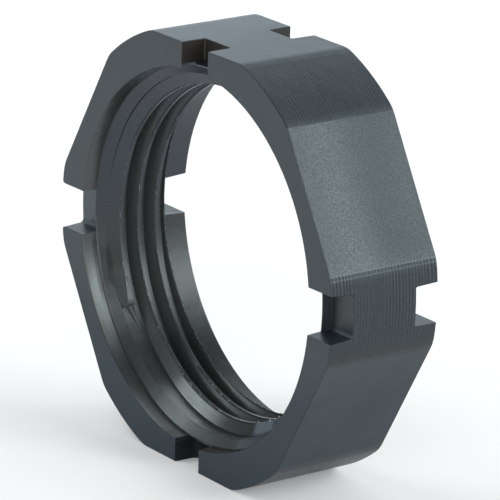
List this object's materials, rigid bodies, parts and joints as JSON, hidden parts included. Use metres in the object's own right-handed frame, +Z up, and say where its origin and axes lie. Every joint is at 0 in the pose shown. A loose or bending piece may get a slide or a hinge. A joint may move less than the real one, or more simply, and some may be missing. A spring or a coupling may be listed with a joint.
{
  "type": "cable gland lock nut",
  "caption": "Moulded plastic hexagonal lock nut with a threaded bore and spanner slots in both faces, for fastening a cable gland behind a panel.",
  "frame": {"origin": "centre of the bore, halfway through the thickness", "axes": "+Y along the bore from the front face to the back face, +Z up to the upper flat, +X to the right seen from the front; the nut stands on its lower flat"},
  "size_m": [0.0318, 0.0088, 0.03],
  "materials": {
    "black_polyamide": "semi-gloss moulded plastic, black to dark grey"
  },
  "bodies": {
    "root": {"lock_nut": "black_polyamide"}
  },
  "joints": []
}
